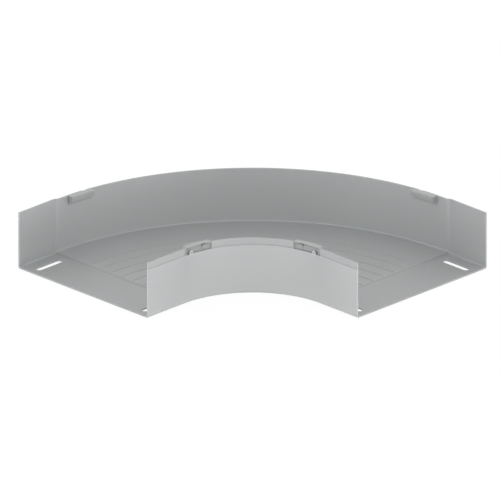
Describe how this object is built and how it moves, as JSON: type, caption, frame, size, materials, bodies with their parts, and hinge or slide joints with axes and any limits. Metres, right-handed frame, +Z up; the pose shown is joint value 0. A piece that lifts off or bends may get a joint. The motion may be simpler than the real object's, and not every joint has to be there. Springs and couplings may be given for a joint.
{
  "type": "cable tray bend",
  "caption": "Flat right-angle bend for sheet steel cable tray, with folded side walls, a beaded floor, stepped sockets at both ends and spring catches in the rims.",
  "frame": {"origin": "centre of the part's plan box, on the plane it rests on", "axes": "+Z up, along the axis of the bend's arc; end A is open towards -Y and end B is open towards -X, and the plane x = y is the mirror plane"},
  "size_m": [0.2774, 0.2774, 0.0505],
  "materials": {
    "zinc_sheet": "satin grey zinc coating on cold-formed sheet",
    "catch_cover": "satin grey zinc coating, slightly darker than the walls",
    "spring_steel": "plain spring steel",
    "eyelet": "bright zinc"
  },
  "bodies": {
    "root": {"floor_plate": "zinc_sheet", "outer_wall": "zinc_sheet", "inner_wall": "zinc_sheet", "catch_cover_outer_a": "catch_cover", "catch_cover_outer_b": "catch_cover", "catch_cover_inner_a": "catch_cover", "catch_cover_inner_b": "catch_cover", "catch_leaf_outer_a": "spring_steel", "catch_leaf_outer_b": "spring_steel", "catch_leaf_inner_a": "spring_steel", "catch_leaf_inner_b": "spring_steel", "catch_eyelet_outer_a": "eyelet", "catch_eyelet_outer_b": "eyelet", "catch_eyelet_inner_a": "eyelet", "catch_eyelet_inner_b": "eyelet"}
  },
  "joints": []
}
